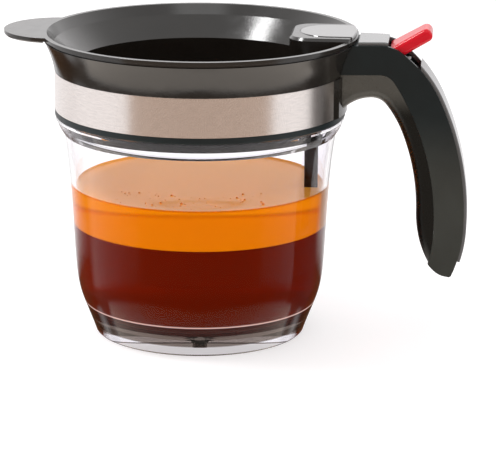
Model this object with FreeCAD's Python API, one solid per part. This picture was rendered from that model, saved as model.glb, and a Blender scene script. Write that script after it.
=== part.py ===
import FreeCAD, Part
import math
import os

# Gravy fat separator: a clear cup with a drain in its floor, a collar with a steel band, an arched
# handle with a thumb lever, a stem that lifts the drain plug, and a lift-off strainer lid.
# Millimetres, +Z up. The origin is on the cup's axis at table level. The handle points along +X
# and the lid's thumb tab along -X.

# ---- Cup -------------------------------------------------------------------------------------
# Radii follow from the neck's, and the heights above the bowl from the shoulder's.
neck_r = 67.4              # outside of the neck inside the collar
neck_wall = 2.4
shoulder_z = 107.4         # top of the ledge that carries the collar
shoulder_r = neck_r + 2.2
shoulder_edge = 1.4        # straight edge of the ledge
shoulder_mid = (shoulder_r - 1.1, shoulder_z - 4.2)
wall_top = (shoulder_r - 3.8, shoulder_z - 8.4)      # stations (radius, height) of the outer curve
wall_high = (shoulder_r - 6.2, shoulder_z - 27.4)
wall_mid = (shoulder_r - 7.7, 60.0)
wall_low = (shoulder_r - 9.0, 36.0)
bowl_high = (shoulder_r - 11.1, 21.0)
bowl_low = (shoulder_r - 14.7, 11.0)
cup_wall = 2.4
foot_r = shoulder_r - 18.6 # outer radius where the skirt stands on the table
foot_edge = 0.6            # bevel round the standing edge
skirt_wall = 2.4           # skirt thickness at the table
skirt_draft = 0.4          # how much the skirt's inside narrows towards the floor
floor_z = 10.2             # height of the floor at its corner
floor_t = 2.2              # floor thickness
floor_fall = 1.4           # how far the floor falls from the corner to the drain
skirt_rise = floor_z - 2.0 # height of the hollow under the floor, at the skirt
corner_r = foot_r - 7.5    # radius where the flat floor turns into the rounded corner
corner_mid = (bowl_high[0] - 4.1, floor_z + 6.7)     # station on that corner's inside
drain_bore_r = 2.4
spout_r = drain_bore_r + 1.1          # drain spout outside
spout_mouth_r = spout_r + 1.9         # where the spout joins the floor
spout_taper_z = 3.4
spout_tip_z = 0.9
seat_r = drain_bore_r + 5.0           # wide end of the conical plug seat
seat_depth = 2.5
snap_count = 4
snap_angle = 12.0          # width of one snap lug, degrees
snap_proud = 0.5
snap_z = shoulder_z + 4.6
snap_h = 2.0
snap_gap = 0.15
guide_t = 1.4
guide_low_z = 38.0
guide_top_z = shoulder_z - 1.4

# ---- Collar, band and rings ------------------------------------------------------------------
fit = 0.2                  # clearance between pieces that slip together
band_r = neck_r + 2.6
band_t = 0.65
band_h = 18.6
band_gap = 0.05
band_open = 20.0           # half angle that the band leaves open at the handle, degrees
ring_r = band_r + band_gap
ring_wall = 1.4
ring_h = 2.9
ring_low_z = shoulder_z + fit
ring_top_z = ring_low_z + ring_h
band_low_z = ring_top_z + fit
band_top_z = band_low_z + band_h
neck_top_z = band_top_z + 0.4
seal_h = 1.2
lip_t = 2.0                # inward lip over the cup's neck
lip_r = neck_r - 2.2
collar_wall = 1.9
flare_low_r = band_r + 0.1
flare_out = 5.1            # how far the hollow flare spreads
flare_h = 14.9
collar_top_r = flare_low_r + flare_out
collar_top_z = band_top_z + fit + flare_h
flare_mid = (flare_low_r + 1.8, collar_top_z - 7.4)  # station on that flare
mouth_edge = 2.2           # width of the collar's top edge
mouth_r = collar_top_r - mouth_edge
mouth_depth = 2.0          # straight part of the mouth
pad_half = 19.6            # half angle of the collar's mounting pad, degrees
pad_flat_half = 16.0       # half angle of its raised face
pad_proud = 0.9

# ---- Lid -------------------------------------------------------------------------------------
brim_out = 0.8             # how far the brim reaches past the collar
brim_r = collar_top_r + brim_out
brim_top_z = collar_top_z + 3.0
brim_t = 1.7
brim_edge = 0.7
brim_land = 2.4            # width of the flat top of the brim
spigot_gap = 0.4
spigot_depth = 1.6
spigot_r = mouth_r - spigot_gap
funnel_mid = (spigot_r - 2.2, brim_top_z - 5.0)      # where the funnel turns steeper to the brim
funnel_depth = 15.0
funnel_low_z = brim_top_z - funnel_depth
funnel_low_r = neck_r - 7.2
lid_wall = 2.0
well_r = funnel_low_r - 1.0           # inside of the well at its floor
well_low_z = shoulder_z - 4.4
ledge_t = 1.5
ledge_w = 2.6
lid_foot_w = 1.5
lid_seat_gap = 0.15
tab_centre_x = 6.0 - brim_r
tab_reach = 24.8           # from that centre to the tip
tab_half = 27.0
tab_t = 2.4
tab_edge = 0.7
stem_x = well_r - 5.2      # middle of the stem's bar
boss_nose_x = stem_x - 10.4
boss_half = 20.0
boss_corner = 10.0
boss_top_z = brim_top_z + 1.3
boss_bevel = 1.3
boss_wall = 2.0
boss_roof = 2.1
cover_centre_x = stem_x + 8.0
cover_nose = 14.0
cover_half = boss_half - 5.0
cover_rim = 1.6            # ledge that the cover rests on
cover_t = 1.4
cover_top_z = boss_top_z + 0.3
cover_gap = 0.1
cover_edge = 0.4
strainer_t = 1.6
strainer_gap = 0.2
hole_r = 1.8               # across the corners of a six-sided hole
hole_pitch = 6.6
hole_rows = 8
hole_rim = 2.2             # plain edge kept round the holes

# ---- Handle ----------------------------------------------------------------------------------
root_x = band_r - 4.0      # where the handle's outlines start, inside the collar's surface
top_z = collar_top_z + 0.2 # top edge of the handle's side faces
top_run_x = brim_r + 11.2  # end of the straight top
back_arcs = [(16.1, 36.6), (60.8, 28.6), (136.5, 28.1), (60.0, 26.0)]   # radius, turn in degrees
crease_z = top_z - 13.9
crease_run_x = top_run_x - 0.4
crease_arcs = [(8.7, 57.6), (127.5, 35.5), (61.4, 34.0)]
inner_start = (band_r + 1.0, top_z - 30.0)
inner_arcs = [(18.6, 40.0), (9.0, 52.0), (55.0, 16.0), (103.0, 22.0), (60.0, -12.0), (50.0, -14.5),
              (16.0, -30.0), (10.0, -23.0)]
tip_r = 1.3                # round of the handle's lower corner
half_root = 15.0           # half width of the handle at the root
half_root_x = band_r + 2.0
blank_half = 2 * half_root # half width of blanks before they are cut to the handle's taper
taper = 0.098              # loss of half width for each millimetre along X
grip_round = 5.0
grip_skin = 2.8            # grip thickness under the shell's root block
core_half = half_root - 5.8           # half width of that block
core_end_x = brim_r + 8.0
trim_proud = 1.5
trim_sunk = 1.8
trim_rim = 1.7             # rim of the shell beside the trim
trim_edge = 0.7
trim_start_x = brim_r + 0.5
trim_end_turn = 14.0       # how far the trim follows the last back arc, degrees
bay_wall = 2.0
bay_floor_z = top_z - 11.4
hub_floor_z = bay_floor_z - 2.0
passage_half = 7.3
joint_gap = 0.1

# ---- Lever, rocker and spring ----------------------------------------------------------------
pivot_x = brim_r + 11.0
pivot_z = top_z - 7.9
pin_r = 1.5
pin_gap = 0.05
hub_r = 3.6
hub_bay_x = pivot_x - 5.0
pad_x = pivot_x + 4.6      # rear top corner of the thumb pad
pad_z = top_z - 1.6
pad_tilt = 30.0            # degrees above level
pad_length = 20.4
pad_t = 6.3
pad_side_gap = 0.4
pad_round = 2.2
pad_end_round = 2.9
slot_x0 = pad_x - 1.0
slot_x1 = slot_x0 + 15.6
tongue_t = 2.4
tongue_depth = 2.0         # below the pad's top face
tongue_end = pad_length - 5.4
tongue_half = 6.0
link_lap = 1.0             # overlap of the hub's web along the tongue
arm_top_z = pivot_z + 1.9
arm_low_z = pivot_z - 2.9
fork_half = 6.4
fork_end_x = stem_x - 3.1
fork_root_x = stem_x + 5.5
shelf_low_z = pivot_z - 1.9
shelf_t = 2.0
spring_x = pivot_x + 11.0
shelf_end_x = spring_x + 3.2
spring_r = 2.7             # mean radius of the coil
spring_wire_r = 0.45
spring_turns = 4.5
spring_floor_z = hub_floor_z - 5.0
spring_seat_gap = 0.15
spring_pocket_r = spring_r + 1.2

# ---- Stem and plug ---------------------------------------------------------------------------
stem_thick = 6.4           # along X
stem_half = 4.0            # half width along Y
stem_pin_z = pivot_z - 0.5
stem_top_z = stem_pin_z + 2.2
stem_pin_r = 1.0
pin_slot_gap = 0.3
pin_slot_run = 1.1         # free travel of the pin along the slot, each way
fork_gap = 0.35
guide_gap = 0.4
guide_inner_x = stem_x - 4.5          # inner edge of the two guide fins
foot_low_z = floor_z + 4.3
foot_t = 4.0
elbow_r = 20.0
groove_half = 2.2
groove_depth = 3.0
groove_low_z = 44.0
groove_top_z = stem_pin_z - 10.2
hub_plug_r = 6.5
hub_low_z = foot_low_z - 1.5
plug_r = seat_r + fit
plug_seat_gap = 0.3
plug_neck_r = 2.5
plug_head_r = 4.0
plug_head_h = 2.0
neck_gap = 0.1

# ---- Fasteners -------------------------------------------------------------------------------
screw_r = 1.5
screw_head_r = 3.2
screw_head_h = 1.6
handle_screw_len = 14.0
handle_screw_y = core_half - 4.0
handle_screw_z = crease_z - 5.5
trim_screw_len = 13.4
trim_screw_x = hub_bay_x - 3.0
trim_screw_y = core_half + 1.0
trim_screw_low_z = crease_z - 78.7

V = FreeCAD.Vector
UP = V(0, 0, 1)
ORIGIN = V(0, 0, 0)
FAR = 200.0                # longer than anything here, for cutting tools
WIDE = 50.0                # half width of tools that cut right across the handle
lap = 0.4                  # how far a feature reaches into the piece it is fused to
pick = 0.05                # tolerance for picking edges


# ---- Geometry helpers ------------------------------------------------------------------------
def xz(point):
    """A point (x, z) of the middle plane as a vector."""
    return V(point[0], 0, point[1])


def lines(points, closed=False):
    """Straight edges through points of the middle plane."""
    loop = points + points[:1] if closed else points
    return [Part.LineSegment(xz(a), xz(b)).toShape() for a, b in zip(loop, loop[1:])]


def smooth(points):
    """One smooth edge through points of the middle plane."""
    curve = Part.BSplineCurve()
    curve.interpolate([xz(p) for p in points])
    return curve.toShape()


def arc3(start, middle, end):
    """An arc through three points of the middle plane."""
    return Part.Arc(xz(start), xz(middle), xz(end)).toShape()


def tangent_chain(start, heading, run, arcs, offset=0.0):
    """A straight run and tangent arcs, each (radius, degrees turned to the right).

    The whole chain is moved to its left by offset. Gives the edges and the end point.
    """
    h = math.radians(heading)
    x, z = chain_start(start, heading, offset)
    edges = []
    if run > 0:
        nx, nz = x + run * math.cos(h), z + run * math.sin(h)
        edges += lines([(x, z), (nx, nz)])
        x, z = nx, nz
    for radius, turn in arcs:
        side = 1.0 if turn > 0 else -1.0
        r = radius + side * offset
        cx, cz = x + side * r * math.sin(h), z - side * r * math.cos(h)
        points = []
        for part in (0.5, 1.0):
            a = h - math.radians(turn) * part
            points.append((cx - side * r * math.sin(a), cz + side * r * math.cos(a)))
        edges.append(arc3((x, z), points[0], points[1]))
        x, z = points[1]
        h -= math.radians(turn)
    return edges, (x, z)


def chain_start(start, heading, offset):
    """Where a tangent chain moved to its left by offset begins."""
    h = math.radians(heading)
    return (start[0] - offset * math.sin(h), start[1] + offset * math.cos(h))


def wire(edges):
    """One wire from edges in any order."""
    return Part.Wire(Part.__sortEdges__(edges))


def turned(edges, angle=360.0, start=0.0):
    """The closed profile turned about the cup's axis."""
    solid = Part.Face(wire(edges)).revolve(ORIGIN, UP, angle)
    solid.rotate(ORIGIN, UP, start)
    return solid


def plate(edges, half):
    """The closed profile of the middle plane made into a plate of the given half width."""
    face = Part.Face(wire(edges))
    face.translate(V(0, -half, 0))
    return face.extrude(V(0, 2 * half, 0))


def box(x0, x1, half, z0, z1):
    """A box that is symmetric about the middle plane."""
    return Part.makeBox(x1 - x0, 2 * half, z1 - z0, V(x0, -half, z0))


def cyl_y(radius, x, z, half):
    """A cylinder across the handle, symmetric about the middle plane."""
    return Part.makeCylinder(radius, 2 * half, V(x, -half, z), V(0, 1, 0))


def only(shape):
    """The single clean solid of a shape."""
    return shape.removeSplitter().Solids[0]


def export(name, shape):
    """Writes one node."""
    shape.exportStep("parts/%s.step" % name)


def handle_half(x):
    """Half width of the handle's side planes at a given x."""
    return half_root - taper * (x - half_root_x)


def wedge(inset):
    """All that lies between the handle's two tapering side planes, moved in by inset."""
    near, far = root_x - 2 * mouth_depth, FAR
    corners = [V(near, -handle_half(near) + inset, 0), V(near, handle_half(near) - inset, 0),
               V(far, handle_half(far) - inset, 0), V(far, -handle_half(far) + inset, 0)]
    return Part.Face(Part.makePolygon(corners + corners[:1])).extrude(V(0, 0, FAR))


def pad_point(along, below):
    """A point of the thumb pad: along its length, and below its top face."""
    c, s = math.cos(math.radians(pad_tilt)), math.sin(math.radians(pad_tilt))
    return (pad_x + along * c + below * s, pad_z + along * s - below * c)


# ---- Values that follow from the ones above --------------------------------------------------
neck_in_r = neck_r - neck_wall
drain_z = floor_z - floor_fall                     # floor height at the rim of the plug seat
seat_low_z = drain_z - seat_depth
collar_bore_r = neck_r + fit
lip_low_z = neck_top_z + seal_h
lip_top_z = lip_low_z + lip_t
band_seat_r = band_r - band_t - band_gap
brim_low_z = brim_top_z - brim_t
funnel_top_r = brim_r - brim_land
brim_ring_r = mouth_r + lid_foot_w                 # outer radius of the lid's seat ring
lid_seat_z = collar_top_z + lid_seat_gap
window_low_z = lip_top_z + joint_gap / 2
tunnel_x = boss_nose_x + boss_wall
tunnel_half = boss_half - boss_wall


# ---- Cup -------------------------------------------------------------------------------------
def cup_profile():
    """Half section of the cup, with its skirt, drain spout, rounded floor and neck."""
    under = drain_z - floor_t
    skirt_in = foot_r - skirt_wall
    below = [(drain_bore_r, seat_low_z), (drain_bore_r, spout_tip_z), (spout_r, spout_tip_z),
             (spout_r, spout_taper_z), (spout_mouth_r, under),
             (skirt_in - skirt_draft, skirt_rise), (skirt_in, 0), (foot_r - foot_edge, 0),
             (foot_r, foot_edge)]
    shoulder_low = (shoulder_r, shoulder_z - shoulder_edge)
    inner = [(r - cup_wall, z) for r, z in (wall_low, wall_mid, wall_high, wall_top)]
    top = [shoulder_low, (shoulder_r, shoulder_z), (neck_r, shoulder_z), (neck_r, neck_top_z),
           (neck_in_r, neck_top_z), (neck_in_r, shoulder_low[1]), inner[-1]]
    edges = lines(below) + [smooth([(foot_r, foot_edge), bowl_low, bowl_high, wall_low, wall_mid,
                                    wall_high, wall_top])]
    edges += [arc3(wall_top, shoulder_mid, shoulder_low)] + lines(top) + [smooth(inner)]
    edges += [smooth([inner[0], corner_mid, (corner_r, floor_z)])]
    edges += lines([(corner_r, floor_z), (seat_r, drain_z), (drain_bore_r, seat_low_z)])
    return edges


def snap_ring(extra):
    """The cup's snap lugs, or with extra their pockets in the collar."""
    r0, r1 = neck_r - lap, neck_r + snap_proud + extra
    z0, z1 = snap_z - extra, snap_z + snap_h + extra
    widen = 2 * math.degrees(extra / neck_r)
    step = 360.0 / snap_count
    lugs = [turned(lines([(r0, z0), (r1, z0), (r1, z1), (r0, z1)], True), snap_angle + widen,
                   step * (i + 0.5) - snap_angle / 2 - widen / 2) for i in range(snap_count)]
    return lugs[0].multiFuse(lugs[1:])


def guide_fins():
    """Two fins inside the cup's wall that guide the stem."""
    inside = stem_half + guide_gap
    fins = box(guide_inner_x, neck_r, inside + guide_t, guide_low_z, guide_top_z)
    return fins.cut(box(0, FAR, inside, 0, FAR)).common(turned(cup_solid_profile()))


def cup_solid_profile():
    """The space inside the cup's outer surface."""
    inner = [(r - cup_wall / 2, z) for r, z in (wall_low, wall_mid, wall_high, wall_top)]
    edges = [smooth(inner)]
    edges += lines([inner[-1], (neck_in_r, guide_top_z), (0, guide_top_z), (0, inner[0][1]), inner[0]])
    return edges


def make_cup():
    """The clear cup."""
    body = turned(cup_profile())
    return only(body.fuse(snap_ring(0)).fuse(guide_fins()))


# ---- Collar, band and rings ------------------------------------------------------------------
def collar_outer():
    """The outer line of the collar, from the top edge down to the band."""
    return [arc3((collar_top_r, collar_top_z), flare_mid, (flare_low_r, band_top_z + fit))]


def collar_profile():
    """Half section of the collar."""
    seat_low = ring_top_z
    skirt_r = ring_r - ring_wall
    inner_flare = flare_mid[0] - collar_wall
    points = [(flare_low_r, band_top_z + fit), (band_seat_r, band_top_z + fit),
              (band_seat_r, seat_low), (skirt_r, seat_low), (skirt_r, shoulder_z + fit),
              (collar_bore_r, shoulder_z + fit), (collar_bore_r, lip_low_z), (lip_r, lip_low_z),
              (lip_r, lip_top_z), (collar_bore_r, lip_top_z), (inner_flare, flare_mid[1]),
              (mouth_r, collar_top_z - mouth_depth), (mouth_r, collar_top_z),
              (collar_top_r, collar_top_z)]
    return collar_outer() + lines(points)


def polar(radius, angle, z):
    """A point at a radius from the cup's axis and an angle in degrees from the handle."""
    return V(radius * math.cos(math.radians(angle)), radius * math.sin(math.radians(angle)), z)


def mount_pad():
    """The raised pad under the handle's root, with bevelled sides."""
    outer, inner = band_r + pad_proud, collar_bore_r + fit
    z = ring_top_z
    right = [polar(inner, pad_half, z), polar(band_r, pad_half, z), polar(outer, pad_flat_half, z)]
    left = [V(p.x, -p.y, p.z) for p in right]
    edges = [Part.LineSegment(a, b).toShape() for side in (right, left) for a, b in zip(side, side[1:])]
    edges.append(Part.Arc(right[2], polar(outer, 0, z), left[2]).toShape())
    edges.append(Part.Arc(right[0], polar(inner, 0, z), left[0]).toShape())
    return Part.Face(wire(edges)).extrude(V(0, 0, band_top_z + fit - z))


def collar_envelope():
    """Everything inside the collar's outer surface, which the handle's root is cut to."""
    points = [(flare_low_r, band_top_z + fit), (band_r, band_top_z + fit), (band_r, shoulder_z),
              (0, shoulder_z), (0, FAR), (collar_top_r, FAR), (collar_top_r, collar_top_z)]
    return turned(collar_outer() + lines(points)).fuse(mount_pad())


def make_collar():
    """The collar with its mounting pad, lever window, snap pockets and screw holes."""
    body = turned(collar_profile()).fuse(mount_pad())
    body = body.cut(box(lip_r + lip_t, FAR, passage_half, window_low_z, FAR))
    body = body.cut(snap_ring(snap_gap))
    for screw in handle_screw_shapes(cup_wall):
        body = body.cut(screw)
    return only(body)


def make_collar_seal():
    """The flat seal between the cup's neck and the collar's lip."""
    return turned(lines([(neck_in_r + fit, neck_top_z), (neck_r - fit, neck_top_z),
                         (neck_r - fit, lip_low_z), (neck_in_r + fit, lip_low_z)], True))


def make_steel_band():
    """The steel band, open at the handle."""
    profile = lines([(band_r - band_t, band_low_z), (band_r, band_low_z), (band_r, band_top_z),
                     (band_r - band_t, band_top_z)], True)
    return only(turned(profile, 360 - 2 * band_open, band_open))


def make_retaining_ring():
    """The ring that holds the band up from below."""
    inner = ring_r - ring_wall + fit / 2
    edge = trim_edge / 2
    return turned(lines([(inner, ring_low_z), (ring_r - edge, ring_low_z),
                         (ring_r, ring_low_z + edge), (ring_r, ring_top_z), (inner, ring_top_z)], True))


# ---- Lid -------------------------------------------------------------------------------------
def lid_profile():
    """Half section of the lid: brim, seat ring, spigot, funnel, well and strainer ledge."""
    well_top_out = (funnel_low_r + lid_wall, funnel_low_z - lid_wall / 2)
    spigot_low = lid_seat_z - spigot_depth
    points = [(funnel_top_r, brim_top_z), (brim_r - brim_edge, brim_top_z),
              (brim_r, brim_top_z - brim_edge), (brim_r, brim_low_z), (brim_ring_r, brim_low_z),
              (brim_ring_r, lid_seat_z), (spigot_r, lid_seat_z), (spigot_r, spigot_low),
              well_top_out, (well_r + lid_wall, well_low_z),
              (well_r - ledge_w, well_low_z), (well_r - ledge_w, well_low_z + ledge_t),
              (well_r, well_low_z + ledge_t), (funnel_low_r, funnel_low_z), funnel_mid]
    return lines(points, True)


def nose_plan(nose_x, half, corner, z):
    """A plan face with a flat rounded nose towards the cup's axis, at height z."""
    start = V(nose_x + corner, -half, z)
    a = math.sqrt(0.5) * corner
    edges = []
    for side in (-1, 1):
        edges.append(Part.Arc(V(nose_x + corner, side * half, z),
                              V(nose_x + corner - a, side * (half - corner + a), z),
                              V(nose_x, side * (half - corner), z)).toShape())
    edges.append(Part.LineSegment(V(nose_x, corner - half, z), V(nose_x, half - corner, z)).toShape())
    end = V(FAR, half, z)
    edges.append(Part.LineSegment(V(nose_x + corner, half, z), end).toShape())
    edges.append(Part.LineSegment(end, V(FAR, -half, z)).toShape())
    edges.append(Part.LineSegment(V(FAR, -half, z), start).toShape())
    return Part.Face(wire(edges))


def oval(half_x, half_y, centre):
    """A level oval face."""
    ends = sorted([V(half_x, 0, 0), V(0, half_y, 0)], key=lambda end: -end.Length)
    ellipse = Part.Ellipse(centre + ends[0], centre + ends[1], centre)
    return Part.Face(Part.Wire(ellipse.toShape()))


def cover_plan(inset, z):
    """Plan face of the stem cover: a half oval that runs out to the brim, at height z."""
    a, b = cover_nose - inset, cover_half - inset
    rim = brim_r - cover_rim / 2 - inset
    full = oval(a, b, V(cover_centre_x, 0, z))
    tail = Part.makePlane(FAR, 2 * b, V(cover_centre_x, -b, z))
    disc = Part.Face(Part.Wire(Part.makeCircle(rim, V(0, 0, z))))
    return full.fuse(tail).common(disc).removeSplitter()


def make_tab():
    """The thumb tab opposite the handle, with its lower edge bevelled."""
    centre = V(tab_centre_x, 0, brim_top_z - tab_t)
    tab = oval(tab_reach, tab_half, centre).extrude(V(0, 0, tab_t))
    tab = tab.makeChamfer(tab_edge, [e for e in tab.Edges if e.BoundBox.ZMax < centre.z + tab_edge])
    tab = tab.cut(Part.makeCylinder(brim_r - brim_edge - fit, FAR))
    return tab.cut(Part.makeCylinder(brim_r + brim_edge, brim_low_z))


def make_lid():
    """The lid with its tab, and the boss that hides the stem's head."""
    half_wall = lid_wall / 2
    rim = brim_r - brim_land / 2
    outer_space = turned(lines([(0, well_low_z), (well_r + half_wall, well_low_z),
                                (funnel_low_r + half_wall, funnel_low_z),
                                (funnel_mid[0] + half_wall, funnel_mid[1]),
                                (spigot_r - spigot_gap, lid_seat_z),
                                (rim, brim_top_z - brim_t / 2), (rim, FAR), (0, FAR)], True))
    ring_keep = Part.makeCylinder(brim_r, brim_t, V(0, 0, brim_low_z)).cut(
        Part.makeCylinder(brim_ring_r, brim_t, V(0, 0, brim_low_z)))
    roof_low = boss_top_z - boss_roof
    tunnel = nose_plan(tunnel_x, tunnel_half, boss_corner - boss_wall, well_low_z - fit)
    tunnel = tunnel.extrude(V(0, 0, roof_low - well_low_z + fit))
    body = turned(lid_profile()).fuse(make_tab()).cut(tunnel).fuse(ring_keep)
    boss = nose_plan(boss_nose_x, boss_half, boss_corner, well_low_z)
    boss = boss.extrude(V(0, 0, boss_top_z - well_low_z))
    boss = boss.makeChamfer(boss_bevel, boss_top_edges(boss))
    boss = boss.cut(tunnel).common(outer_space)
    body = body.fuse(boss)
    opening = cover_plan(cover_rim, roof_low - fit).extrude(V(0, 0, boss_roof * 2))
    recess = cover_plan(-cover_gap, cover_top_z - cover_t).extrude(V(0, 0, boss_roof))
    return only(body.cut(opening).cut(recess))


def boss_top_edges(boss):
    """The boss's top edges, apart from the far straight one."""
    return [e for e in boss.Edges if min(v.Z for v in e.Vertexes) > boss_top_z - fit
            and min(v.X for v in e.Vertexes) < FAR / 2]


def make_stem_cover():
    """The oval cover let into the boss."""
    cover = cover_plan(0, cover_top_z - cover_t).extrude(V(0, 0, cover_t))
    return only(cover.makeChamfer(cover_edge, [e for e in cover.Edges if
                                                  min(v.Z for v in e.Vertexes) > cover_top_z - fit]))


def six_sided(radius, centre, across=V(0, 1, 0)):
    """A level six-sided face, or with another direction across an upright one along X."""
    corners = []
    for i in range(6):
        a = math.radians(60 * i)
        corners.append(centre + V(radius * math.cos(a), 0, 0) + across * (radius * math.sin(a)))
    return Part.Face(Part.makePolygon(corners + corners[:1]))


def make_strainer():
    """The perforated strainer plate, cut back round the stem's tunnel."""
    low = well_low_z + ledge_t
    rim = well_r - strainer_gap
    disc = Part.makeCylinder(rim, strainer_t, V(0, 0, low))
    keep = nose_plan(boss_nose_x - strainer_gap, boss_half + strainer_gap, boss_corner, low)
    disc = disc.cut(keep.extrude(V(0, 0, strainer_t)))
    holes = []
    for row in range(-hole_rows, hole_rows + 1):
        for step in range(-hole_rows, hole_rows + 1):
            x = (step + 0.5 * (row % 2)) * hole_pitch
            y = row * hole_pitch * math.sin(math.radians(60))
            if math.hypot(x, y) > rim - ledge_w - hole_rim - hole_r:
                continue
            if x > boss_nose_x - hole_rim - 2 * hole_r and abs(y) < boss_half + hole_rim + 2 * hole_r:
                continue
            holes.append(six_sided(hole_r, V(x, y, low)).extrude(V(0, 0, strainer_t)))
    return only(disc.cut(Part.makeCompound(holes)))


# ---- Handle ----------------------------------------------------------------------------------
def back_chain(offset, start_x=root_x, last_turn=None):
    """The handle's outer line, moved outwards by offset."""
    arcs = list(back_arcs)
    if last_turn is not None:
        arcs[-1] = (arcs[-1][0], last_turn)
    return tangent_chain((start_x, top_z), 0, top_run_x - start_x, arcs, offset)


def finger_line():
    """The handle's inner line, which runs on straight at both ends, and its last point."""
    heading = inner_arcs[0][1]
    tilt = math.radians(heading)
    lead = (inner_start[0] - root_x) / math.cos(tilt)
    start = (root_x, inner_start[1] - lead * math.sin(tilt))
    edges, end = tangent_chain(start, heading, lead, inner_arcs)
    tilt = math.radians(heading - sum(turn for radius, turn in inner_arcs))
    last = (end[0] + half_root, end[1] + half_root * math.tan(tilt))
    return edges + lines([end, last]), start, last


def finger_block():
    """All that lies beyond the finger line, between the handle's side planes."""
    edges, start, last = finger_line()
    return plate(edges + lines([last, (last[0], top_z), (root_x, top_z), start]), blank_half).common(wedge(0))


def handle_block():
    """The whole handle with crisp side edges: its inner line and its outer line meet at the tip."""
    back, back_end = back_chain(0)
    inside = plate(back + lines([back_end, (root_x, back_end[1]), (root_x, top_z)]), blank_half)
    body = finger_block().common(inside)
    across = [e for e in body.Edges if all(math.hypot(v.X - e.Vertexes[0].X, v.Z - e.Vertexes[0].Z) < pick
                                           for v in e.Vertexes)]
    return only(body.makeFillet(tip_r, [min(across, key=lambda e: e.Vertexes[0].Z)]))


def beside_fingers(edge):
    """True for the two side edges along the finger line."""
    middle = edge.valueAt((edge.FirstParameter + edge.LastParameter) / 2)
    close = Part.Vertex(V(middle.x, 0, middle.z)).distToShape(wire(finger_line()[0]))[0] < pick
    return close and abs(middle.y) > fit


def root_core():
    """The shell's root block inside the grip, which the handle's screws hold."""
    under, under_end = tangent_chain(inner_start, inner_arcs[0][1], 0, inner_arcs[:2], grip_skin)
    low = under_end[1]
    top = crease_z + joint_gap
    space = plate(under + lines([under_end, (under_end[0], top), (root_x - FAR, top), (root_x - FAR, low)])
                  + lines([(root_x - FAR, low), chain_start(inner_start, inner_arcs[0][1], grip_skin)]),
                  core_half)
    return space.common(box(root_x, core_end_x, core_half, 0, FAR))


def grip_space(offset):
    """All that lies on the inner side of the crease, moved towards the back by offset."""
    crease, end = tangent_chain((root_x, crease_z), 0, crease_run_x - root_x, crease_arcs, offset)
    corner = [end, (0, end[1]), (0, crease_z + offset), (root_x, crease_z + offset)]
    return plate(crease + lines(corner), FAR / 2)


def bay_profile():
    """Side outline of the space for the rocker, the spring and the thumb pad."""
    roof = top_z - trim_sunk - joint_gap
    return lines([(root_x, bay_floor_z), (hub_bay_x, bay_floor_z), (hub_bay_x, hub_floor_z),
                  (slot_x1 - bay_wall, hub_floor_z), (slot_x1, hub_floor_z + bay_wall),
                  (slot_x1, FAR), (slot_x0, FAR), (slot_x0, roof), (root_x, roof)], True)


def trim_strip(proud, sunk, inset, start_x=trim_start_x):
    """The strip that the trim fills along the handle's back."""
    outer, outer_end = back_chain(proud, start_x, trim_end_turn)
    inner, inner_end = back_chain(-sunk, start_x, trim_end_turn)
    start = [(start_x, top_z - sunk), (start_x, top_z + proud)]
    strip = plate(outer + inner + lines(start) + lines([outer_end, inner_end]), blank_half)
    return strip.common(wedge(inset))


def make_handle_shell():
    """The handle's main shell, with the lever bay, the trim's seat and screw holes."""
    body = handle_block().cut(grip_space(0)).fuse(root_core())
    body = body.cut(collar_envelope())
    body = body.cut(trim_strip(trim_proud * 2, trim_sunk, trim_rim))
    bay = plate(bay_profile(), WIDE).common(wedge(bay_wall))
    bay = bay.cut(box(0, hub_bay_x, WIDE, 0, FAR)).fuse(
        box(root_x, hub_bay_x, passage_half, bay_floor_z, top_z - trim_sunk))
    body = body.cut(bay)
    pocket_h = hub_floor_z - spring_floor_z + bay_wall
    body = body.cut(Part.makeCylinder(spring_pocket_r, pocket_h, V(spring_x, 0, spring_floor_z)))
    body = body.cut(cyl_y(pin_r, pivot_x, pivot_z, WIDE).common(wedge(bay_wall / 2)))
    for screw in handle_screw_shapes(0) + trim_screw_shapes(cup_wall):
        body = body.cut(screw)
    return only(body)


def make_handle_grip():
    """The soft inner grip, rounded towards the fingers."""
    block = finger_block()
    block = block.makeFillet(grip_round, [e for e in block.Edges if beside_fingers(e)])
    body = block.common(grip_space(-joint_gap))
    return only(body.cut(collar_envelope()).cut(root_core()))


def make_handle_trim():
    """The glossy strip along the handle's back, with the lever's slot."""
    strip = trim_strip(trim_proud, trim_sunk - joint_gap, trim_rim + joint_gap)
    edges = [e for e in strip.Edges if trim_edge_line(e)]
    strip = strip.makeFillet(trim_edge, edges)
    slot_top = plate(lines([(slot_x0, 0), (slot_x1, 0), (slot_x1, FAR), (slot_x0, FAR)], True), WIDE)
    proud_part = trim_strip(trim_proud * 2, 0, -1)
    strip = strip.cut(slot_top.common(proud_part))
    strip = strip.cut(slot_top.common(wedge(bay_wall)))
    for screw in trim_screw_shapes(0):
        strip = strip.cut(screw)
    return only(strip)


def trim_edge_line(edge):
    """True for the trim's two long outer edges."""
    middle = edge.valueAt((edge.FirstParameter + edge.LastParameter) / 2)
    outer, end = back_chain(trim_proud, trim_start_x, trim_end_turn)
    probe = Part.Vertex(V(middle.x, 0, middle.z))
    close = probe.distToShape(wire(outer))[0] < pick
    side = abs(abs(middle.y) - handle_half(middle.x) + trim_rim + joint_gap) < fit / 2
    return close and side


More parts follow.
